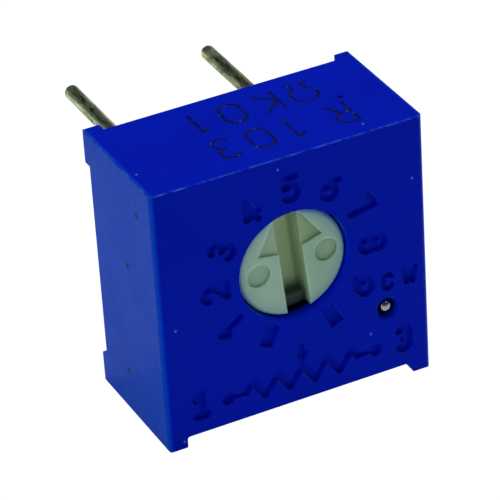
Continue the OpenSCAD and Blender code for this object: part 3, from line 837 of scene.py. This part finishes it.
class TRIMMER_OT_case(bpy.types.Operator):
    """Models the blue case from the housing, softens its marks and cuts the code in its top"""

    bl_idname = "trimmer.case"
    bl_label = "Case"

    def execute(self, context):
        sizes, colours = context.scene.trimmer_sizes, context.scene.trimmer_colours
        case = merged_copy("housing", "case_shell")
        face_y = front_of(case)
        places = [vert.co for vert in case.data.vertices if abs(vert.co.y - face_y) < NEAR]
        radii = [math.hypot(place.x, place.z) for place in places]
        hole = max(radius for radius in radii if radius < HOLE_SEARCH)
        vent_x, vent_z = middle(*box_mm("vent_ball"))

        def rim(edge):
            if not on_plane(edge, 1, face_y):
                return False
            at = edge.verts[0].co
            near_hole = abs(math.hypot(at.x, at.z) - hole) < NEAR
            return near_hole or math.hypot(at.x - vent_x, at.z - vent_z) < VENT_SEARCH

        def lip(edge):
            return on_plane(edge, 1, face_y) and not rim(edge)

        def root(edge):
            return on_plane(edge, 1, MARK_DEPTH)

        round_edges(case, sizes.hole_lip / MM, 3, rim)
        round_edges(case, sizes.mark_lip / MM, 2, lip)
        round_edges(case, sizes.mark_root / MM, 2, root)
        cutter = code_cutter(sizes)
        case.data.materials.append(case_finish(colours))
        cutter.data.materials.append(code_finish(colours))
        apply_modifier(
            case, "BOOLEAN", object=cutter, operation="DIFFERENCE", solver="EXACT", use_self=True,
            material_mode="TRANSFER",
        )
        bpy.data.objects.remove(cutter)
        smooth(case)
        scale_mesh(case, MM)
        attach(case, CASE_BODY)
        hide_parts("housing")
        return {"FINISHED"}


class TRIMMER_OT_vent_ball(bpy.types.Operator):
    """Models the ball that closes the vent"""

    bl_idname = "trimmer.vent_ball"
    bl_label = "Vent ball"

    def execute(self, context):
        low, high = box_mm("vent_ball")
        bpy.ops.object.select_all(action="DESELECT")
        bpy.ops.mesh.primitive_uv_sphere_add(
            segments=64, ring_count=32, radius=(high.z - low.z) / 2, location=(low + high) / 2
        )
        ball = bpy.context.object
        ball.name = "vent_plug"
        smooth(ball, 60)
        finish_piece(
            ball, CASE_BODY, ball_finish(context.scene.trimmer_colours), "ball_steel", "vent_ball"
        )
        return {"FINISHED"}


# ---- Rotor -------------------------------------------------------------------------------------


class TRIMMER_OT_rotor(bpy.types.Operator):
    """Models the slotted rotor with softened edges"""

    bl_idname = "trimmer.rotor"
    bl_label = "Rotor"

    def execute(self, context):
        sizes, colours = context.scene.trimmer_sizes, context.scene.trimmer_colours
        rotor = merged_copy("rotor", "rotor_head")
        face_y = front_of(rotor)

        def upper(edge):
            return on_plane(edge, 1, face_y)

        def slot_foot(edge):
            deep = edge.verts[0].co.y > face_y + SLOT_SEARCH
            return deep and edge.calc_face_angle_signed() < 0

        round_edges(rotor, sizes.slot_root / MM, 4, slot_foot, 60)
        round_edges(rotor, sizes.slot_lip / MM, 3, upper, 40)
        smooth(rotor)
        finish_piece(rotor, TURNING_BODY, rotor_finish(colours), "rotor_plastic", "rotor")
        return {"FINISHED"}


# ---- Pins and potting --------------------------------------------------------------------------

WIRE_RINGS = 8  # rings of faces along a pin behind the resin
RESIN_GRID = 110  # faces across the resin
WALL_FALL = 3  # how fast the resin's climb falls off from a wall, over the meniscus reach
WIRE_FALL = 4
WIRE_CLIMB = 0.8  # the climb at a pin beside that at a wall


class TRIMMER_OT_pins(bpy.types.Operator):
    """Models the three pins, each with its head, shank and rounded tip"""

    bl_idname = "trimmer.pins"
    bl_label = "Pins"

    def execute(self, context):
        sizes, colours = context.scene.trimmer_sizes, context.scene.trimmer_colours
        finish = pin_finish(colours)
        plate_y = box_mm("substrate")[1].y
        resin_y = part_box("back_potting")[1].y / MM
        for number in PIN_NUMBERS:
            low, high = box_mm(f"pin_{number}")
            x, z = middle(low, high)
            head = (high.x - low.x) / 2
            tip_y = high.y - TIP_RADIUS
            core = WIRE_RADIUS - TIP_RADIUS
            profile = [
                (head - PIN_HEAD_EDGE, low.y),
                (head, low.y + PIN_HEAD_EDGE),
                (head, low.y + PIN_HEAD),
                (SHANK_RADIUS, low.y + PIN_HEAD),
                (SHANK_RADIUS, plate_y),
                (WIRE_RADIUS, resin_y),
            ]
            for i in range(1, WIRE_RINGS):
                profile.append((WIRE_RADIUS, resin_y + (tip_y - resin_y) * i / WIRE_RINGS))
            for angle in map(math.radians, range(0, 91, 10)):
                across, along = TIP_RADIUS * math.cos(angle), TIP_RADIUS * math.sin(angle)
                profile.append((core + across, tip_y + along))
            pin = turned_solid(f"pin_wire_{number}", x, z, profile, sizes.pin_facets)
            smooth(pin, 40)
            finish_piece(pin, CASE_BODY, finish, "tinned_wire", f"pin_{number}")
        return {"FINISHED"}


class TRIMMER_OT_potting(bpy.types.Operator):
    """Models the resin that fills the back, climbing a little up the walls and the pins"""

    bl_idname = "trimmer.potting"
    bl_label = "Potting"

    def execute(self, context):
        sizes, colours = context.scene.trimmer_sizes, context.scene.trimmer_colours
        low, high = box_mm("back_potting")
        centre = (low + high) / 2
        half_x, half_z = (high.x - low.x) / 2, (high.z - low.z) / 2
        inner_x, inner_z = half_x - RESIN_CORNER, half_z - RESIN_CORNER
        pins = [middle(*box_mm(f"pin_{number}")) for number in PIN_NUMBERS]
        bpy.ops.object.select_all(action="DESELECT")
        bpy.ops.mesh.primitive_grid_add(
            x_subdivisions=RESIN_GRID, y_subdivisions=RESIN_GRID, size=2,
            rotation=(math.radians(90), 0, 0), location=(centre.x, low.y, centre.z),
        )
        resin = bpy.context.object
        resin.name = "potting_fill"
        resin.scale = (half_x, half_z, 1)
        bpy.ops.object.transform_apply(location=True, rotation=True, scale=True)
        bpy.ops.object.mode_set(mode="EDIT")
        bpy.ops.mesh.select_all(action="SELECT")
        bpy.ops.mesh.extrude_region_move(
            TRANSFORM_OT_translate={"value": (0, high.y - low.y, 0)}
        )
        bpy.ops.mesh.select_all(action="SELECT")
        bpy.ops.mesh.normals_make_consistent(inside=False)
        done()
        climb, reach = sizes.meniscus / MM, sizes.meniscus_reach / MM
        for vert in resin.data.vertices:
            dx, dz = vert.co.x - centre.x, vert.co.z - centre.z
            over_x, over_z = abs(dx) - inner_x, abs(dz) - inner_z
            if over_x > 0 and over_z > 0 and math.hypot(over_x, over_z) > RESIN_CORNER:
                pull = RESIN_CORNER / math.hypot(over_x, over_z)
                vert.co.x = centre.x + math.copysign(inner_x + over_x * pull, dx)
                vert.co.z = centre.z + math.copysign(inner_z + over_z * pull, dz)
            if vert.co.y < high.y - NEAR:
                continue
            at = vert.co
            wall = min(half_x - abs(at.x - centre.x), half_z - abs(at.z - centre.z))
            wire = min(math.hypot(at.x - x, at.z - z) - WIRE_RADIUS for x, z in pins)
            vert.co.y += climb * math.exp(-max(wall, 0) / reach * WALL_FALL)
            vert.co.y += WIRE_CLIMB * climb * math.exp(-max(wire, 0) / reach * WIRE_FALL)
        smooth(resin, 60)
        finish_piece(
            resin, CASE_BODY, potting_finish(colours), "potting_resin", "back_potting"
        )
        return {"FINISHED"}


class TRIMMER_OT_inner_parts(bpy.types.Operator):
    """Gives the seal, wiper, ceramic plate, prints and solder their finishes"""

    bl_idname = "trimmer.inner_parts"
    bl_label = "Inner parts"

    def execute(self, context):
        colours = context.scene.trimmer_colours
        for name, tone, rough, values, nodes in INNER_FINISHES:
            material = grained(name, tuple(getattr(colours, tone)), rough, **values)[0]
            for node in nodes:
                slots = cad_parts[node].data.materials
                slots.clear()
                slots.append(material)
        return {"FINISHED"}


# ---- Stage -------------------------------------------------------------------------------------

LIGHTS = (  # name, place and size in metres, and power in watts
    ("key", (0.17, 0.02, 0.31), 0.08, 0.76),
    ("left_fill", (-0.37, -0.05, 0.05), 0.3, 0.6),
    ("spark", (0.162, -0.162, 0.277), 0.06, 0.05),
)
AIM = (0, 0.004, 0)
SKY = {"From Min": 0.0, "From Max": 0.45, "To Min": 0.32, "To Max": 0.04}  # horizon to zenith
CAMERA_PLACE = (-40.535, -83.55, 58.44)  # millimetres
CAMERA_WAY = (0.35926, 0.76929, -0.52832)
CAMERA_ROLL = 3.71  # degrees
LENS, SENSOR = 250.8, 36.0


def add_light(name, place, size, power):
    """A square light turned towards the part."""
    light = bpy.data.lights.new(name, "AREA")
    light.shape = "SQUARE"
    light.size = size
    light.energy = power
    obj = bpy.data.objects.new(name, light)
    obj.location = place
    obj.rotation_euler = (Vector(AIM) - Vector(place)).to_track_quat("-Z", "Y").to_euler()
    bpy.context.collection.objects.link(obj)


class TRIMMER_OT_stage(bpy.types.Operator):
    """Sets up the floor, the soft lights and the camera"""

    bl_idname = "trimmer.stage"
    bl_label = "Stage"

    def execute(self, context):
        colours = context.scene.trimmer_colours
        floor_z = CAD_BOX[0][2]
        bpy.ops.object.select_all(action="DESELECT")
        bpy.ops.mesh.primitive_plane_add(size=4, location=(0, 0, floor_z))
        floor = bpy.context.object
        floor.name = "studio_floor"
        floor.data.materials.append(floor_finish(colours))

        world = bpy.data.worlds.new("studio")
        context.scene.world = world
        world.use_nodes = True
        sky = world.node_tree
        way = sky.nodes.new("ShaderNodeTexCoord")
        split = sky.nodes.new("ShaderNodeSeparateXYZ")
        sky.links.new(way.outputs["Generated"], split.inputs[0])
        fade = new_node(sky, "ShaderNodeMapRange", **SKY)
        sky.links.new(split.outputs[2], fade.inputs["Value"])
        sky.nodes["Background"].inputs["Color"].default_value = (1, 1, 1, 1)
        sky.links.new(fade.outputs["Result"], sky.nodes["Background"].inputs["Strength"])

        for light in LIGHTS:
            add_light(*light)

        camera = bpy.data.cameras.new("camera")
        camera.lens = LENS
        camera.sensor_width = SENSOR
        camera.clip_start = 0.005
        camera.clip_end = 20
        obj = bpy.data.objects.new("camera", camera)
        context.collection.objects.link(obj)
        forward = Vector(CAMERA_WAY).normalized()
        right = forward.cross(Vector((0, 0, 1))).normalized()
        right = Matrix.Rotation(math.radians(CAMERA_ROLL), 3, forward) @ right
        up = right.cross(forward)
        turn = Matrix((right, up, -forward)).transposed()
        obj.matrix_world = Matrix.Translation(Vector(CAMERA_PLACE) * MM) @ turn.to_4x4()
        context.scene.camera = obj
        context.scene.view_settings.view_transform = "Standard"
        return {"FINISHED"}


# ---- Sidebar and registration ------------------------------------------------------------------

STEPS = (
    TRIMMER_OT_case,
    TRIMMER_OT_vent_ball,
    TRIMMER_OT_rotor,
    TRIMMER_OT_pins,
    TRIMMER_OT_potting,
    TRIMMER_OT_inner_parts,
    TRIMMER_OT_stage,
)


class TRIMMER_PT_sidebar(bpy.types.Panel):
    """Lists the steps, sizes and colours"""

    bl_label = "Trimmer"
    bl_idname = "TRIMMER_PT_sidebar"
    bl_space_type = "VIEW_3D"
    bl_region_type = "UI"
    bl_category = "Trimmer"

    def draw(self, context):
        for step in STEPS:
            self.layout.operator(step.bl_idname)
        for settings in (context.scene.trimmer_sizes, context.scene.trimmer_colours):
            box = self.layout.box()
            for name in settings.__annotations__:
                box.prop(settings, name)


CLASSES = (TrimmerSizes, TrimmerColours, *STEPS, TRIMMER_PT_sidebar)


def register():
    for cls in CLASSES:
        bpy.utils.register_class(cls)
    bpy.types.Scene.trimmer_sizes = PointerProperty(type=TrimmerSizes)
    bpy.types.Scene.trimmer_colours = PointerProperty(type=TrimmerColours)


def unregister():
    del bpy.types.Scene.trimmer_colours
    del bpy.types.Scene.trimmer_sizes
    for cls in reversed(CLASSES):
        bpy.utils.unregister_class(cls)


def main():
    register()
    for step in STEPS:
        category, name = step.bl_idname.split(".")
        getattr(getattr(bpy.ops, category), name)()


if __name__ == "__main__":
    main()
